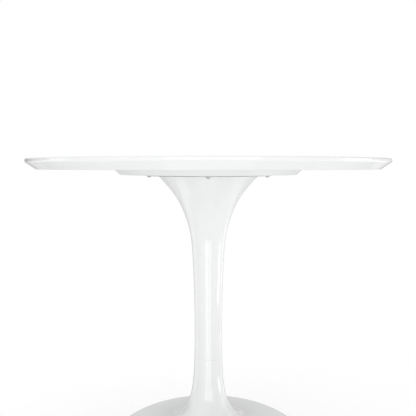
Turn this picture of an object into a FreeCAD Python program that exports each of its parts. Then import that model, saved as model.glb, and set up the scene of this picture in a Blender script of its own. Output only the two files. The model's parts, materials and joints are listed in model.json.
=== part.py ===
"""Round pedestal table: a bevelled top on a trumpet-shaped column and a flared foot.

Units are millimetres, +Z is up, and the origin is on the floor under the table's centre.
Each piece is one named solid, or one group of identical solids, written to parts/NODE.step.
"""
import FreeCAD, Part
import math
import os

Vector = FreeCAD.Vector
UP = Vector(0, 0, 1)

# ---- Driving dimensions ---------------------------------------------------------------

# Table top: a lacquered board whose edge is undercut by a long bevel.
table_height = 740.0
top_radius = 450.0
top_thickness = 25.0
top_edge_height = 8.0          # upright band above the bevel
top_bevel_inset = 25.0         # how far the bevel runs in under the top
top_upper_rounding = 2.5
top_lower_rounding = 3.0

# Sub-top: the smaller bevelled disc that stiffens the top and takes the column's plate.
sub_top_thickness = 14.0
sub_top_upper_radius = 242.0
sub_top_lower_radius = 226.0
sub_top_rounding = 1.5
nut_pocket_radius = 28.0       # hole that leaves room for the tie rod's upper nut

# Countersunk wood screws that hold the sub-top to the top.
wood_screw_count = 8
wood_screw_first_angle = 22.5
wood_screw_circle = 200.0
wood_screw_length = 30.0
wood_screw_radius = 2.25
wood_screw_head_radius = 4.5
wood_screw_head_height = 2.5
wood_screw_point = 5.0
cross_recess_length = 4.4
cross_recess_width = 1.0
cross_recess_depth = 2.0

# Mounting plate: the steel disc on the neck, bolted up into the sub-top.
plate_radius = 163.0
plate_thickness = 3.0
plate_edge_rounding = 0.6
plate_bolt_count = 4
plate_bolt_circle = 154.0
plate_hole_radius = 3.3

# M6 button-head bolts, their washers and the inserts they screw into.
bolt_radius = 3.0
bolt_length = 16.0
bolt_head_radius = 5.25
bolt_head_height = 3.3
bolt_socket_flats = 4.0
bolt_socket_depth = 2.0
washer_radius = 6.0
washer_thickness = 1.6
insert_radius = 4.5
insert_length = 12.0
insert_flange_radius = 6.0
insert_flange_thickness = 1.0
insert_barb_depth = 0.6
insert_barb_count = 4

# Locating pins between the neck's rim and the plate.
pin_count = 2
pin_first_angle = 45.0
pin_circle = 113.0
pin_radius = 2.5
pin_depth = 7.0                # how far each pin goes into the neck's rim

# Column: a hollow casting, straight stem below and trumpet neck above.
column_wall = 5.0
rim_land_depth = 8.0           # machined ring under the plate
rim_land_inner_radius = 102.0
neck_radius = 129.3
# Outside radius and height of the column, from above the joint up to the plate.
column_stations = [
    (35.4, 310.0),
    (37.4, 410.0),
    (41.1, 490.0),
    (47.5, 550.0),
    (62.4, 600.0),
    (82.0, 640.0),
    (104.3, 670.0),
]

# Joint between column and foot: a spigot on the foot enters the column's bore.
joint_height = 230.0
spigot_radius = 29.95
spigot_bore_radius = 24.0
spigot_height = 22.0
socket_radius = 30.0
socket_depth = 25.0
joint_pin_radius = 2.5
joint_pin_length = 12.0
joint_pin_above_joint = 12.0
joint_slot_radius = 33.0
joint_slot_width = 5.2
joint_chamfer = 0.5            # on both castings, so that the joint is a fine groove

# Foot: a hollow casting that flares exponentially from the stem to the floor.
foot_radius = 260.0
stem_radius = 35.0             # radius that the flare dies away to
foot_underside = 3.0           # gap to the floor, left by the pads
foot_rim_top = 8.0
foot_flare_height = 40.0       # the flare shrinks by a factor e over this height
foot_rim_rounding = 1.2
foot_wall = 6.0
foot_land_inner_radius = 222.0
foot_curve_points = 11
web_bottom = 118.0             # cast web that the tie rod pulls against
web_thickness = 12.0
spigot_root = 218.0            # height at which the hollow narrows to the spigot's bore

# Ballast: a cast-iron ring bolted to bosses inside the foot.
ballast_radius = 130.0
ballast_hole_radius = 32.0
ballast_bottom = 12.0
ballast_thickness = 16.0
ballast_edge_rounding = 2.0
ballast_bolt_count = 4
ballast_bolt_first_angle = 45.0
ballast_bolt_circle = 85.0
ballast_bolt_radius = 4.0
ballast_bolt_length = 36.0
ballast_bolt_flats = 13.0
ballast_bolt_head_height = 5.3
ballast_hole_clearance = 0.5
ballast_washer_radius = 8.0
ballast_washer_thickness = 1.6
boss_radius = 11.0
boss_top = 72.0

# Pads under the foot's rim.
pad_count = 6
pad_circle = 240.0
pad_radius = 14.0
pad_thickness = 4.0
pad_rounding = 1.0

# M12 tie rod that clamps plate, column and foot together.
rod_radius = 6.0
rod_clearance_radius = 6.6
rod_chamfer = 1.0              # at both ends
rod_bottom = 96.0
rod_top = 713.5
nut_flats = 19.0
nut_thickness = 10.0
thin_nut_thickness = 6.0
rod_washer_radius = 18.5
rod_washer_thickness = 3.0

# ---- Heights worked out from the driving dimensions ------------------------------------

top_underside = table_height - top_thickness
sub_top_underside = top_underside - sub_top_thickness
plate_underside = sub_top_underside - plate_thickness
bolt_head_top = plate_underside - washer_thickness
foot_inside_top = web_bottom + web_thickness
ballast_top = ballast_bottom + ballast_thickness
ballast_head_top = ballast_bottom - ballast_washer_thickness


# ---- Shape helpers -----------------------------------------------------------------------

def disc(radius, bottom, top):
    """An upright cylinder on the table's axis."""
    return Part.makeCylinder(radius, top - bottom, Vector(0, 0, bottom))


def ring(outer_radius, inner_radius, bottom, top):
    """A flat ring on the table's axis."""
    return disc(outer_radius, bottom, top).cut(disc(inner_radius, bottom, top))


def hexagon(across_flats, bottom, top):
    """An upright six-sided prism on the table's axis."""
    corner = across_flats / math.sqrt(3)
    corners = [Vector(corner * math.cos(math.radians(60 * side)),
                      corner * math.sin(math.radians(60 * side)), bottom)
               for side in range(7)]
    return Part.Face(Part.makePolygon(corners)).extrude(UP * (top - bottom))


def turned_hexagon(across_flats, bottom, top):
    """A six-sided prism with its corners turned off at both faces, like a nut."""
    corner = across_flats / math.sqrt(3)
    flat = across_flats / 2
    drop = (corner - flat) * math.tan(math.radians(30))
    turned = lathe_corners([(0, bottom), (flat, bottom), (corner, bottom + drop),
                            (corner, top - drop), (flat, top), (0, top)])
    return hexagon(across_flats, bottom, top).common(turned)


def straight(start, end):
    """A straight edge between two (radius, height) points."""
    return Part.makeLine(Vector(start[0], 0, start[1]), Vector(end[0], 0, end[1]))


def lathe(edges):
    """Turn a closed outline of radius and height about the table's axis."""
    face = Part.Face(Part.Wire(edges))
    return face.revolve(Vector(), UP, 360)


def lathe_corners(corners):
    """Turn a closed outline of straight sides about the table's axis."""
    closed = corners + corners[:1]
    return lathe([straight(a, b) for a, b in zip(closed, closed[1:])])


def round_circle(shape, radius, height, rounding):
    """Round the circular edge that has this radius and lies at this height."""
    edges = [edge for edge in shape.Edges
             if isinstance(edge.Curve, Part.Circle)
             and abs(edge.Curve.Radius - radius) < 0.01
             and abs(edge.Curve.Center.z - height) < 0.01]
    return shape.makeFillet(rounding, edges)


def around(piece, count, first_angle=0.0):
    """Copies of a piece, evenly spaced about the table's axis, as separate solids."""
    copies = []
    for index in range(count):
        copy = piece.copy()
        copy.rotate(Vector(), UP, first_angle + 360.0 * index / count)
        copies.append(copy)
    return Part.makeCompound(copies)


def moved_out(piece, distance):
    """Move a piece from the table's axis out along +X."""
    copy = piece.copy()
    copy.translate(Vector(distance, 0, 0))
    return copy


def smooth_curve(points):
    """A smooth curve through (radius, height) points, lowest point first."""
    curve = Part.BSplineCurve()
    curve.interpolate([Vector(radius, 0, height) for radius, height in points])
    return curve


def inset_curve(curve, distance, samples=16):
    """The same curve moved towards the axis by a wall thickness, square to itself."""
    points = []
    for index in range(samples + 1):
        share = index / samples
        parameter = curve.FirstParameter + share * (curve.LastParameter - curve.FirstParameter)
        place = curve.value(parameter)
        along = curve.tangent(parameter)[0]
        inward = Vector(-along.z, 0, along.x)
        moved = place + inward * distance
        points.append((moved.x, moved.z))
    return smooth_curve(points)


def solid_inside(curve):
    """The solid between the axis and a curve that runs upwards."""
    low = curve.value(curve.FirstParameter)
    high = curve.value(curve.LastParameter)
    return lathe([
        straight((0, low.z), (low.x, low.z)),
        curve.toShape(),
        straight((high.x, high.z), (0, high.z)),
        straight((0, high.z), (0, low.z)),
    ])


# ---- Top and sub-top ---------------------------------------------------------------------

def wood_screw():
    """A countersunk wood screw pointing up, its head flush under the sub-top."""
    low = sub_top_underside
    tip = low + wood_screw_length
    body = lathe_corners([
        (0, low),
        (wood_screw_head_radius, low),
        (wood_screw_radius, low + wood_screw_head_height),
        (wood_screw_radius, tip - wood_screw_point),
        (0, tip),
    ])
    return moved_out(body, wood_screw_circle)


def cross_recess():
    """The cross-shaped driver recess in a wood screw's head."""
    slot = Part.makeBox(cross_recess_length, cross_recess_width, cross_recess_depth,
                        Vector(-cross_recess_length / 2, -cross_recess_width / 2,
                               sub_top_underside))
    other = slot.copy()
    other.rotate(Vector(), UP, 90)
    return moved_out(slot.fuse(other), wood_screw_circle)


def sub_top_screws():
    return around(wood_screw().cut(cross_recess()), wood_screw_count, wood_screw_first_angle)


def table_top():
    low_radius = top_radius - top_bevel_inset
    bevel_top = table_height - top_edge_height
    board = lathe_corners([
        (0, top_underside),
        (low_radius, top_underside),
        (top_radius, bevel_top),
        (top_radius, table_height),
        (0, table_height),
    ])
    board = round_circle(board, top_radius, table_height, top_upper_rounding)
    board = round_circle(board, top_radius, bevel_top, top_lower_rounding)
    board = round_circle(board, low_radius, top_underside, top_lower_rounding)
    return board.cut(around(wood_screw(), wood_screw_count, wood_screw_first_angle))


def threaded_insert():
    """A barbed M6 insert pressed up into the sub-top, its flange flush underneath."""
    low = sub_top_underside
    corners = [
        (bolt_radius, low),
        (insert_flange_radius, low),
        (insert_flange_radius, low + insert_flange_thickness),
        (insert_radius, low + insert_flange_thickness),
    ]
    pitch = (insert_length - insert_flange_thickness) / insert_barb_count
    for barb in range(insert_barb_count):
        barb_top = low + insert_flange_thickness + (barb + 1) * pitch
        corners += [(insert_radius - insert_barb_depth, barb_top),
                    (insert_radius, barb_top)]
    corners[-1] = (bolt_radius, low + insert_length)
    return moved_out(lathe_corners(corners), plate_bolt_circle)


def threaded_inserts():
    return around(threaded_insert(), plate_bolt_count)


def sub_top():
    board = lathe_corners([
        (0, sub_top_underside),
        (sub_top_lower_radius, sub_top_underside),
        (sub_top_upper_radius, top_underside),
        (0, top_underside),
    ])
    board = round_circle(board, sub_top_lower_radius, sub_top_underside, sub_top_rounding)
    board = board.cut(disc(nut_pocket_radius, sub_top_underside, top_underside))
    bolt_hole = moved_out(disc(bolt_radius, sub_top_underside, top_underside),
                          plate_bolt_circle)
    board = board.cut(around(bolt_hole, plate_bolt_count))
    board = board.cut(threaded_inserts())
    return board.cut(around(wood_screw(), wood_screw_count, wood_screw_first_angle))


# ---- Mounting plate and its fastenings -----------------------------------------------------

def locating_pin():
    """A pin that stands in the neck's rim and fits a hole in the plate."""
    pin = disc(pin_radius, plate_underside - pin_depth, sub_top_underside)
    return moved_out(pin, pin_circle)


def plate_pins():
    return around(locating_pin(), pin_count, pin_first_angle)


def mounting_plate():
    plate = disc(plate_radius, plate_underside, sub_top_underside)
    plate = round_circle(plate, plate_radius, plate_underside, plate_edge_rounding)
    plate = plate.cut(disc(rod_clearance_radius, plate_underside, sub_top_underside))
    bolt_hole = moved_out(disc(plate_hole_radius, plate_underside, sub_top_underside),
                          plate_bolt_circle)
    plate = plate.cut(around(bolt_hole, plate_bolt_count))
    return plate.cut(plate_pins())


def plate_washers():
    washer = ring(washer_radius, plate_hole_radius, bolt_head_top, plate_underside)
    return around(moved_out(washer, plate_bolt_circle), plate_bolt_count)


def plate_bolts():
    """M6 button-head bolts, pointing up."""
    low = bolt_head_top - bolt_head_height
    crown = (bolt_head_radius ** 2 + bolt_head_height ** 2) / (2 * bolt_head_height)
    dome = Part.makeSphere(crown, Vector(0, 0, low + crown))
    head = disc(bolt_head_radius, low, bolt_head_top).common(dome)
    head = head.cut(hexagon(bolt_socket_flats, low, low + bolt_socket_depth))
    shank = disc(bolt_radius, bolt_head_top, bolt_head_top + bolt_length)
    return around(moved_out(head.fuse(shank).removeSplitter(), plate_bolt_circle),
                  plate_bolt_count)


# ---- Column ----------------------------------------------------------------------------------

def flare_radius(height):
    """Outside radius of the foot: an exponential flare that dies away into the stem."""
    rise = height - foot_rim_top
    return stem_radius + (foot_radius - stem_radius) * math.exp(-rise / foot_flare_height)


def joint_groove():
    """The V that the chamfers of column and foot leave round the joint."""
    edge = flare_radius(joint_height)
    return lathe_corners([
        (edge - joint_chamfer, joint_height),
        (edge + joint_chamfer, joint_height - 2 * joint_chamfer),
        (edge + joint_chamfer, joint_height + 2 * joint_chamfer),
    ])


def column():
    stations = ([(flare_radius(joint_height), joint_height)]
                + column_stations
                + [(neck_radius, plate_underside)])
    outside = smooth_curve(stations)
    casting = solid_inside(outside)
    hollow = solid_inside(inset_curve(outside, column_wall))
    hollow = hollow.common(disc(neck_radius, joint_height + socket_depth,
                                plate_underside - rim_land_depth))
    casting = casting.cut(hollow)
    casting = casting.cut(disc(rim_land_inner_radius, plate_underside - rim_land_depth,
                               plate_underside))
    casting = casting.cut(disc(socket_radius, joint_height, joint_height + socket_depth))
    casting = casting.cut(joint_groove())
    slot_top = joint_height + joint_pin_above_joint + joint_slot_width / 2
    slot = Part.makeBox(joint_slot_width, joint_slot_radius, slot_top - joint_height,
                        Vector(-joint_slot_width / 2, 0, joint_height))
    casting = casting.cut(slot)
    return casting.cut(plate_pins())


def joint_pin():
    """The pin that stands out of the foot's spigot and stops the column turning."""
    start = joint_slot_radius - joint_pin_length
    return Part.makeCylinder(joint_pin_radius, joint_pin_length,
                             Vector(0, start, joint_height + joint_pin_above_joint),
                             Vector(0, 1, 0))


# ---- Foot, ballast and pads ----------------------------------------------------------------------

def foot_outline():
    """The foot's outside, with its points closest together where the flare is steepest."""
    points = []
    for index in range(foot_curve_points + 1):
        share = (index / foot_curve_points) ** 2
        height = foot_rim_top + share * (joint_height - foot_rim_top)
        points.append((flare_radius(height), height))
    return smooth_curve(points)


def ballast_bolt():
    """An M8 hexagon bolt pointing up through the ballast into a boss."""
    head = turned_hexagon(ballast_bolt_flats, ballast_head_top - ballast_bolt_head_height,
                          ballast_head_top)
    shank = disc(ballast_bolt_radius, ballast_head_top,
                 ballast_head_top + ballast_bolt_length)
    return moved_out(head.fuse(shank), ballast_bolt_circle)


def ballast_bolts():
    return around(ballast_bolt(), ballast_bolt_count, ballast_bolt_first_angle)


def ballast_washers():
    washer = ring(ballast_washer_radius, ballast_bolt_radius + ballast_hole_clearance,
                  ballast_head_top, ballast_bottom)
    return around(moved_out(washer, ballast_bolt_circle), ballast_bolt_count, ballast_bolt_first_angle)


def ballast_ring():
    plate = ring(ballast_radius, ballast_hole_radius, ballast_bottom, ballast_top)
    plate = round_circle(plate, ballast_radius, ballast_bottom, ballast_edge_rounding)
    hole = disc(ballast_bolt_radius + ballast_hole_clearance, ballast_bottom, ballast_top)
    holes = around(moved_out(hole, ballast_bolt_circle), ballast_bolt_count,
                   ballast_bolt_first_angle)
    return plate.cut(holes)


def foot_pads():
    pad = disc(pad_radius, 0, pad_thickness)
    pad = round_circle(pad, pad_radius, 0, pad_rounding)
    return around(moved_out(pad, pad_circle), pad_count)


def foot():
    outside = foot_outline()
    flare = solid_inside(outside)
    rim = disc(foot_radius, foot_underside, foot_rim_top)
    spigot = disc(spigot_radius, joint_height, joint_height + spigot_height)
    body = flare.fuse(rim).fuse(spigot).removeSplitter()
    body = round_circle(body, foot_radius, foot_rim_top, foot_rim_rounding)

    inside = solid_inside(inset_curve(outside, foot_wall))
    bell = inside.common(disc(foot_land_inner_radius, foot_underside, web_bottom))
    boss = moved_out(disc(boss_radius, ballast_top, boss_top), ballast_bolt_circle)
    bell = bell.cut(around(boss, ballast_bolt_count, ballast_bolt_first_angle))
    neck = inside.common(disc(foot_land_inner_radius, foot_inside_top, spigot_root))

    body = body.cut(bell).cut(neck)
    body = body.cut(disc(spigot_bore_radius, spigot_root, joint_height + spigot_height))
    body = body.cut(disc(rod_clearance_radius, web_bottom, foot_inside_top))
    body = body.cut(joint_groove())
    body = body.cut(joint_pin())
    body = body.cut(ballast_bolts())
    return body.cut(foot_pads())


# ---- Tie rod -----------------------------------------------------------------------------------------

def tie_rod():
    end_radius = rod_radius - rod_chamfer
    return lathe_corners([(0, rod_bottom), (end_radius, rod_bottom),
                          (rod_radius, rod_bottom + rod_chamfer),
                          (rod_radius, rod_top - rod_chamfer), (end_radius, rod_top),
                          (0, rod_top)])


def rod_nut(bottom, thickness):
    nut = turned_hexagon(nut_flats, bottom, bottom + thickness)
    return nut.cut(disc(rod_radius, bottom, bottom + thickness))


def rod_washer(bottom):
    return ring(rod_washer_radius, rod_clearance_radius, bottom, bottom + rod_washer_thickness)


# ---- Export ------------------------------------------------------------------------------------------

lower_washer_bottom = web_bottom - rod_washer_thickness

PIECES = {
    "table_top": table_top(),
    "sub_top": sub_top(),
    "sub_top_screws": sub_top_screws(),
    "threaded_inserts": threaded_inserts(),
    "mounting_plate": mounting_plate(),
    "plate_washers": plate_washers(),
    "plate_bolts": plate_bolts(),
    "plate_pins": plate_pins(),
    "column": column(),
    "joint_pin": joint_pin(),
    "foot": foot(),
    "foot_pads": foot_pads(),
    "ballast_ring": ballast_ring(),
    "ballast_washers": ballast_washers(),
    "ballast_bolts": ballast_bolts(),
    "tie_rod": tie_rod(),
    "upper_rod_washer": rod_washer(sub_top_underside),
    "upper_rod_nut": rod_nut(sub_top_underside + rod_washer_thickness, thin_nut_thickness),
    "lower_rod_washer": rod_washer(lower_washer_bottom),
    "lower_rod_nut": rod_nut(lower_washer_bottom - nut_thickness, nut_thickness),
}

os.makedirs("parts", exist_ok=True)
for name, shape in PIECES.items():
    shape.exportStep(f"parts/{name}.step")
    print(f"{name}: {len(shape.Solids)} solid(s), {shape.Volume / 1000:.1f} cm3, "
          f"valid {shape.isValid()}")
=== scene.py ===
"""Looks of the round pedestal table: materials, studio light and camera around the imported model.

Units are metres in the table's own frame: +Z is up and the origin is on the floor.
"""
import bpy
import json
import math
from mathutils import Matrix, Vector


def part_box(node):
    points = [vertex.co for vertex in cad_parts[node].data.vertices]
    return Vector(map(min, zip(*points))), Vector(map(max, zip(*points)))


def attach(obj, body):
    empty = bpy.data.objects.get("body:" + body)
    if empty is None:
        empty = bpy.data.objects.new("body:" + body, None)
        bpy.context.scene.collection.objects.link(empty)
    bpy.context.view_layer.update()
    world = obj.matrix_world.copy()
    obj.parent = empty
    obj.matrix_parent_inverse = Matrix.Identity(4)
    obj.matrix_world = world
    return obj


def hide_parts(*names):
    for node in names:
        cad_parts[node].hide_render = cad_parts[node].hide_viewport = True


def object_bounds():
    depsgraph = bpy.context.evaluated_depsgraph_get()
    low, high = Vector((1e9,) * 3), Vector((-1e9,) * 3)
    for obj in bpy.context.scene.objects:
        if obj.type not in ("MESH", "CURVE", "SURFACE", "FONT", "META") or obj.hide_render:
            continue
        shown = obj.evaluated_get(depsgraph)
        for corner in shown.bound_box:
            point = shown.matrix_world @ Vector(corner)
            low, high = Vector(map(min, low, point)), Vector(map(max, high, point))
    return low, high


WHITE = (1, 1, 1, 1)

# ---- Camera ---------------------------------------------------------------------------------
SENSOR_WIDTH = 36.0             # in millimetres
FOCAL_LENGTH_IN_IMAGE_WIDTHS = 1.202
CAMERA_DISTANCE = 1.303         # from the lens to the table's axis
CAMERA_BELOW_TOP = 0.0193       # from the top's upper face down to the lens
CAMERA_ASIDE = -0.0008          # from the table's axis to the lens, along X
FRAME_SHIFT = -0.0986           # in image widths: the level view is framed below the horizon

# ---- Floor ----------------------------------------------------------------------------------
FLOOR_RADIUS = 4.0
FLOOR_SIDES = 96
FLOOR_COLOUR = (0.65, 0.65, 0.65, 1)
FLOOR_ROUGHNESS = 0.8
FLOOR_GLOW = 0.4

# ---- Studio light ---------------------------------------------------------------------------
AMBIENT = 0.44
LOBES = [                               # direction, sharpness, strength
    ((0, -1, 0), 2, 0.32),              # front
    ((1, 0, 0), 2, 0.71),               # right
    ((0, 0.3, 0.95), 5, 1.0),           # above, a little to the rear
    ((-0.7, -0.7, 0.17), 4, 0.5),       # front left
    ((-0.77, 0, 0.64), 4, 0.2),         # high on the left
]
# A panel is a softbox, or a black card where its strength is below zero. Azimuth 0 is towards
# -Y, where the camera stands, and 90 is towards +X. All four angles are in degrees.
PANELS = [                              # azimuth, half width, lowest, highest, strength
    (-11.2, 10, -24.5, -9, 1.8),        # left half of the band down the stem
    (11.5, 9.6, -24.5, -9, 1.5),        # right half of it
    (2, 27, -9, 4, 1.75),               # bright middle of the top's edge
    (66, 13, -6, 4, -0.3),              # darker stretch to the right of that
    (89, 11.5, -17.8, -9, 2.2),         # narrow streak near the stem's right side
    (89, 11.5, -26, -17.8, 0.4),        # faint end of the streak
    (97, 13, -9, 8, 0.6),               # bright stretch of the top's edge, on the right
    (92, 16, 10, 50, -0.45),            # upper corner of that edge
    (122, 11, -6, 5, -0.3),             # right end of the top's edge
    (124, 12, -60, -5, 0.35),           # right side of neck and stem
    (130, 12, -21, -12, 0.6),           # right side of the stem, lower down
    (-112, 16, -60, -5, 0.6),           # left side of neck and stem
    (-120, 14, -22, -12, 0.25),         # left side of the stem, lower down
    (-97, 8, -5, 8, 0.7),               # bright stretch of the top's edge, on the left
    (-128, 20, -6, 5, -0.5),            # left end of the top's edge
    (158, 22, -20, -9, 0.2),            # right outline of the stem
    (-154, 26, -20, -9, 0.15),          # left outline of the stem
]
PANEL_EDGE = 0.012                      # width of a panel's soft edge, as a sine

# ---- Noise patterns -------------------------------------------------------------------------
PATTERN_LOW, PATTERN_HIGH = 0.3, 0.7    # a noise pattern lies mostly between these
CLOUDS = dict(scale=9.0, detail=3.0)    # in the colour of white paint
SMEARS = dict(scale=45.0, detail=4.0)   # in its roughness
WAVES = dict(scale=14.0, detail=0.0)    # in its surface
PEEL = dict(scale=420.0, detail=1.0)    # orange peel in its surface
GRAINS_PER_STAIN = 6
STAIN_DETAIL = 4.0
METAL_GRAIN_DETAIL = 3.0
MATTE_GRAIN_DETAIL = 5.0
MATTE_GRAIN_ROUGHNESS = 0.6

# ---- Finishes, by material slot -------------------------------------------------------------
GLOSS_IOR = 1.65
ENAMEL = dict(light=(0.885, 0.895, 0.89), dark=(0.87, 0.88, 0.875), roughness=(0.02, 0.045),
              peel_depth=4e-6, wave_depth=2.5e-5)
GLOSS_WHITES = {
    "white_lacquer": dict(light=(0.9, 0.91, 0.905), dark=(0.885, 0.895, 0.89),
                          roughness=(0.03, 0.06), peel_depth=4e-6, wave_depth=4e-5),
    "white_lacquer_underside": dict(light=(0.855, 0.87, 0.865), dark=(0.84, 0.855, 0.85),
                                    roughness=(0.19, 0.26), peel_depth=6e-6, wave_depth=5e-5),
    "white_enamel": ENAMEL,
    "white_enamel_foot": ENAMEL,
}
METALS = {
    "plate_steel": dict(light=(0.6, 0.61, 0.61), dark=(0.54, 0.55, 0.55),
                        roughness=(0.5, 0.68), grain_scale=900.0, grain_depth=2e-5),
    "zinc_steel": dict(light=(0.78, 0.79, 0.8), dark=(0.68, 0.69, 0.7),
                       roughness=(0.45, 0.6), grain_scale=1200.0, grain_depth=1e-5),
    "bare_steel": dict(light=(0.5, 0.5, 0.5), dark=(0.38, 0.37, 0.36),
                       roughness=(0.32, 0.5), grain_scale=1500.0, grain_depth=1e-5),
    "brass_insert": dict(light=(0.75, 0.6, 0.3), dark=(0.62, 0.48, 0.22),
                         roughness=(0.3, 0.42), grain_scale=1500.0, grain_depth=1e-5),
}
MATTES = {
    "ballast_iron": dict(light=(0.06, 0.06, 0.063), dark=(0.03, 0.03, 0.032),
                         roughness=(0.55, 0.8), grain_scale=260.0, grain_depth=6e-4),
    "pad_rubber": dict(light=(0.11, 0.11, 0.112), dark=(0.07, 0.07, 0.072),
                       roughness=(0.7, 0.9), grain_scale=1400.0, grain_depth=6e-5),
}

# ---- Tie rod, M12 ---------------------------------------------------------------------------
THREAD_PITCH = 0.00175
THREAD_DEPTH = 0.0009
THREAD_LENGTH = 0.04
THREAD_RUN_OUT = 0.003
ROD_CHAMFER = 0.0012
ROD_SIDES = 32
RINGS_PER_TURN = 8


# ---- Materials ------------------------------------------------------------------------------
def new_material(name):
    """An empty material, its node tree and its shader."""
    material = bpy.data.materials.new(name)
    material.use_nodes = True
    tree = material.node_tree
    return material, tree, tree.nodes["Principled BSDF"]


def object_coordinates(tree):
    return tree.nodes.new("ShaderNodeTexCoord").outputs["Object"]


def noise(tree, coordinates, scale, detail, roughness=0.5):
    """A noise pattern; scale is in waves per metre."""
    node = tree.nodes.new("ShaderNodeTexNoise")
    node.inputs["Scale"].default_value = scale
    node.inputs["Detail"].default_value = detail
    node.inputs["Roughness"].default_value = roughness
    tree.links.new(coordinates, node.inputs["Vector"])
    return node.outputs["Fac"]


def two_tone(tree, pattern, dark, light):
    """A colour that goes from dark to light as the pattern rises."""
    node = tree.nodes.new("ShaderNodeValToRGB")
    low, high = node.color_ramp.elements
    low.position, low.color = PATTERN_LOW, (*dark, 1)
    high.position, high.color = PATTERN_HIGH, (*light, 1)
    tree.links.new(pattern, node.inputs["Fac"])
    return node.outputs["Color"]


def spread(tree, pattern, low, high):
    """A number that goes from low to high as the pattern rises."""
    node = tree.nodes.new("ShaderNodeMapRange")
    node.inputs["From Min"].default_value = PATTERN_LOW
    node.inputs["From Max"].default_value = PATTERN_HIGH
    node.inputs["To Min"].default_value = low
    node.inputs["To Max"].default_value = high
    tree.links.new(pattern, node.inputs["Value"])
    return node.outputs["Result"]


def bump(tree, height, depth, below=None):
    """A bump of the given depth in metres, laid over another one."""
    node = tree.nodes.new("ShaderNodeBump")
    node.inputs["Strength"].default_value = 1.0
    node.inputs["Distance"].default_value = depth
    tree.links.new(height, node.inputs["Height"])
    if below is not None:
        tree.links.new(below, node.inputs["Normal"])
    return node.outputs["Normal"]


def gloss_white(name, light, dark, roughness, peel_depth, wave_depth):
    """White gloss paint: faint cloudiness, orange peel and a slight waviness."""
    material, tree, shader = new_material(name)
    place = object_coordinates(tree)
    clouds = noise(tree, place, **CLOUDS)
    tree.links.new(two_tone(tree, clouds, dark, light), shader.inputs["Base Color"])
    smears = noise(tree, place, **SMEARS)
    tree.links.new(spread(tree, smears, *roughness), shader.inputs["Roughness"])
    shader.inputs["IOR"].default_value = GLOSS_IOR
    waves = bump(tree, noise(tree, place, **WAVES), wave_depth)
    peel = bump(tree, noise(tree, place, **PEEL), peel_depth, below=waves)
    tree.links.new(peel, shader.inputs["Normal"])
    return material


def metal(name, light, dark, roughness, grain_scale, grain_depth):
    """Bare or plated metal: faint stains and a fine grain."""
    material, tree, shader = new_material(name)
    shader.inputs["Metallic"].default_value = 1.0
    place = object_coordinates(tree)
    stains = noise(tree, place, grain_scale / GRAINS_PER_STAIN, STAIN_DETAIL)
    tree.links.new(two_tone(tree, stains, dark, light), shader.inputs["Base Color"])
    grain = noise(tree, place, grain_scale, METAL_GRAIN_DETAIL)
    tree.links.new(spread(tree, grain, *roughness), shader.inputs["Roughness"])
    tree.links.new(bump(tree, grain, grain_depth), shader.inputs["Normal"])
    return material


def matte(name, light, dark, roughness, grain_scale, grain_depth):
    """Rough cast iron or rubber: one grain in colour, roughness and surface."""
    material, tree, shader = new_material(name)
    place = object_coordinates(tree)
    grain = noise(tree, place, grain_scale, MATTE_GRAIN_DETAIL, MATTE_GRAIN_ROUGHNESS)
    tree.links.new(two_tone(tree, grain, dark, light), shader.inputs["Base Color"])
    tree.links.new(spread(tree, grain, *roughness), shader.inputs["Roughness"])
    tree.links.new(bump(tree, grain, grain_depth), shader.inputs["Normal"])
    return material


def make_materials():
    """Every finish, by material slot."""
    families = ((gloss_white, GLOSS_WHITES), (metal, METALS), (matte, MATTES))
    return {slot: make(slot, **finish)
            for make, finishes in families for slot, finish in finishes.items()}


def dress(nodes, record, materials):
    """Give each CAD node the material of its slot in the record."""
    slots = {entry["node"]: entry["material_slot"] for entry in record["subparts"]}
    for name, node in nodes.items():
        node.data.materials.clear()
        node.data.materials.append(materials[slots[name]])


# ---- Tie rod --------------------------------------------------------------------------------
def thread_wave(turns):
    """0 at a crest and 1 at a root, with straight flanks between them."""
    return 1 - abs(2 * (turns % 1.0) - 1)


def rod_heights(low, high):
    """Closely spaced rings over the thread at each end, and a plain shank between."""
    step = THREAD_PITCH / RINGS_PER_TURN
    count = round(THREAD_LENGTH / step)
    return ([low + ring * step for ring in range(count + 1)]
            + [high - ring * step for ring in range(count, -1, -1)])


def rod_radius(radius, low, high, z, turns):
    """The rod's radius at one point: chamfered ends, a thread that runs out, a plain shank."""
    end = min(z - low, high - z)
    run_out = min(1.0, max(0.0, (THREAD_LENGTH - end) / THREAD_RUN_OUT))
    chamfer = max(0.0, ROD_CHAMFER - end)
    return radius - max(chamfer, THREAD_DEPTH * run_out * thread_wave(turns))


def rod_mesh(low, high):
    """The rod between two corners of its box, as rings of points and the faces between them."""
    radius = (high.x - low.x) / 2
    middle = (low + high) / 2
    points, faces = [], []
    heights = rod_heights(low.z, high.z)
    for z in heights:
        for side in range(ROD_SIDES):
            turn = side / ROD_SIDES
            reach = rod_radius(radius, low.z, high.z, z, z / THREAD_PITCH - turn)
            angle = 2 * math.pi * turn
            points.append((middle.x + reach * math.cos(angle),
                           middle.y + reach * math.sin(angle), z))
    for ring in range(len(heights) - 1):
        for side in range(ROD_SIDES):
            here, after = ring * ROD_SIDES, (ring + 1) * ROD_SIDES
            beside = (side + 1) % ROD_SIDES
            faces.append((here + side, here + beside, after + beside, after + side))
    faces.append(tuple(reversed(range(ROD_SIDES))))
    faces.append(tuple(range(len(points) - ROD_SIDES, len(points))))
    mesh = bpy.data.meshes.new("threaded_tie_rod")
    mesh.from_pydata(points, [], faces)
    for face in mesh.polygons:
        face.use_smooth = len(face.vertices) < ROD_SIDES
    return mesh


def make_tie_rod(material):
    """The tie rod with real helical threads at both ends."""
    low, high = (Vector(corner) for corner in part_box("tie_rod"))
    mesh = rod_mesh(low, high)
    mesh.materials.append(material)
    rod = bpy.data.objects.new("threaded_tie_rod", mesh)
    bpy.context.scene.collection.objects.link(rod)
    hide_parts("tie_rod")
    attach(rod, "root")


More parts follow.
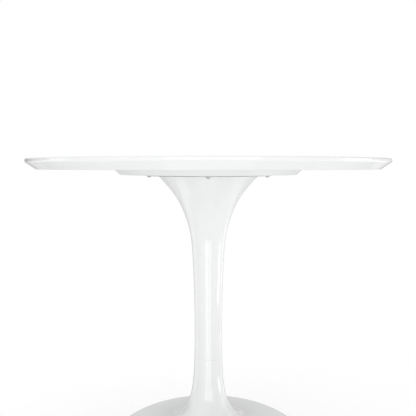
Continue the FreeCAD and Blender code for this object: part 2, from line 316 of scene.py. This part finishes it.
# ---- World ----------------------------------------------------------------------------------
def math_node(tree, operation, *values):
    """A math node; each value is a number or another node's output."""
    node = tree.nodes.new("ShaderNodeMath")
    node.operation = operation
    for socket, value in zip(node.inputs, values):
        if isinstance(value, (int, float)):
            socket.default_value = value
        else:
            tree.links.new(value, socket)
    return node.outputs["Value"]


def lobe(tree, direction, aim, sharpness, strength):
    """Soft light that comes from all round one direction."""
    towards = tree.nodes.new("ShaderNodeVectorMath")
    towards.operation = "DOT_PRODUCT"
    tree.links.new(direction, towards.inputs[0])
    towards.inputs[1].default_value = Vector(aim).normalized()
    facing = math_node(tree, "MAXIMUM", towards.outputs["Value"], 0.0)
    return math_node(tree, "MULTIPLY", math_node(tree, "POWER", facing, sharpness), strength)


def soft_step(tree, value, start, width):
    """0 below start, 1 above start + width, and smooth between them."""
    node = tree.nodes.new("ShaderNodeMapRange")
    node.interpolation_type = "SMOOTHSTEP"
    node.inputs["From Min"].default_value = start
    node.inputs["From Max"].default_value = start + width
    tree.links.new(value, node.inputs["Value"])
    return node.outputs["Result"]


def panel(tree, direction, azimuth, half_width, lowest, highest, strength):
    """A far, even patch of light between two azimuths and two elevations."""
    parts = tree.nodes.new("ShaderNodeSeparateXYZ")
    tree.links.new(direction, parts.inputs["Vector"])
    x, y, z = parts.outputs
    around = math_node(tree, "ARCTAN2", x, math_node(tree, "MULTIPLY", y, -1.0))
    aside = math_node(tree, "ABSOLUTE",
                      math_node(tree, "SUBTRACT", around, math.radians(azimuth)))
    inside = math_node(tree, "SUBTRACT", math.radians(half_width), aside)
    across = soft_step(tree, inside, 0.0, PANEL_EDGE)
    above = soft_step(tree, z, math.sin(math.radians(lowest)), PANEL_EDGE)
    below = soft_step(tree, math_node(tree, "MULTIPLY", z, -1.0),
                      -math.sin(math.radians(highest)), PANEL_EDGE)
    between = math_node(tree, "MULTIPLY", above, below)
    return math_node(tree, "MULTIPLY", math_node(tree, "MULTIPLY", across, between), strength)


def make_world():
    """Studio light from all round, and a pure white background."""
    world = bpy.data.worlds.new("studio")
    bpy.context.scene.world = world
    world.use_nodes = True
    tree = world.node_tree
    direction = tree.nodes.new("ShaderNodeTexCoord").outputs["Generated"]
    level = AMBIENT
    for settings in LOBES:
        level = math_node(tree, "ADD", level, lobe(tree, direction, *settings))
    for settings in PANELS:
        level = math_node(tree, "ADD", level, panel(tree, direction, *settings))
    studio = tree.nodes["Background"]
    studio.inputs["Color"].default_value = WHITE
    tree.links.new(level, studio.inputs["Strength"])
    backdrop = tree.nodes.new("ShaderNodeBackground")
    backdrop.inputs["Color"].default_value = WHITE
    mix = tree.nodes.new("ShaderNodeMixShader")
    seen_by_camera, otherwise, when_seen = mix.inputs
    tree.links.new(tree.nodes.new("ShaderNodeLightPath").outputs["Is Camera Ray"], seen_by_camera)
    tree.links.new(studio.outputs["Background"], otherwise)
    tree.links.new(backdrop.outputs["Background"], when_seen)
    tree.links.new(mix.outputs["Shader"], tree.nodes["World Output"].inputs["Surface"])


# ---- Floor and camera -----------------------------------------------------------------------
def make_floor():
    """A pale floor that glows a little, as a lit studio sweep does."""
    bpy.ops.mesh.primitive_circle_add(vertices=FLOOR_SIDES, radius=FLOOR_RADIUS, fill_type="NGON")
    floor = bpy.context.object
    floor.name = "floor"
    material, _, shader = new_material("floor")
    shader.inputs["Base Color"].default_value = FLOOR_COLOUR
    shader.inputs["Roughness"].default_value = FLOOR_ROUGHNESS
    shader.inputs["Emission Color"].default_value = WHITE
    shader.inputs["Emission Strength"].default_value = FLOOR_GLOW
    floor.data.materials.append(material)
    floor.visible_glossy = False


def make_camera(top):
    """A level camera in front of the table, just below the height of its top."""
    data = bpy.data.cameras.new("camera")
    data.sensor_width = SENSOR_WIDTH
    data.lens = SENSOR_WIDTH * FOCAL_LENGTH_IN_IMAGE_WIDTHS
    data.shift_y = FRAME_SHIFT
    camera = bpy.data.objects.new("camera", data)
    bpy.context.scene.collection.objects.link(camera)
    camera.location = (CAMERA_ASIDE, -CAMERA_DISTANCE, top - CAMERA_BELOW_TOP)
    camera.rotation_euler = (math.radians(90), 0, 0)
    bpy.context.scene.camera = camera


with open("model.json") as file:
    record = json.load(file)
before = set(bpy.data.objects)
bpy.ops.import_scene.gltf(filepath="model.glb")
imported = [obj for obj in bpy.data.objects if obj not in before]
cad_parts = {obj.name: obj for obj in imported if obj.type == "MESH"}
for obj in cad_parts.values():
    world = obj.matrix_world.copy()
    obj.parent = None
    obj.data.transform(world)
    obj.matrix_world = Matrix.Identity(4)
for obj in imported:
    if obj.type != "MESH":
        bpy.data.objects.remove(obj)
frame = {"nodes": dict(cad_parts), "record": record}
cad_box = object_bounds()

bpy.context.scene.view_settings.view_transform = "Standard"
materials = make_materials()
dress(frame["nodes"], frame["record"], materials)
make_tie_rod(materials["bare_steel"])
make_world()
make_floor()
make_camera(cad_box[1].z)
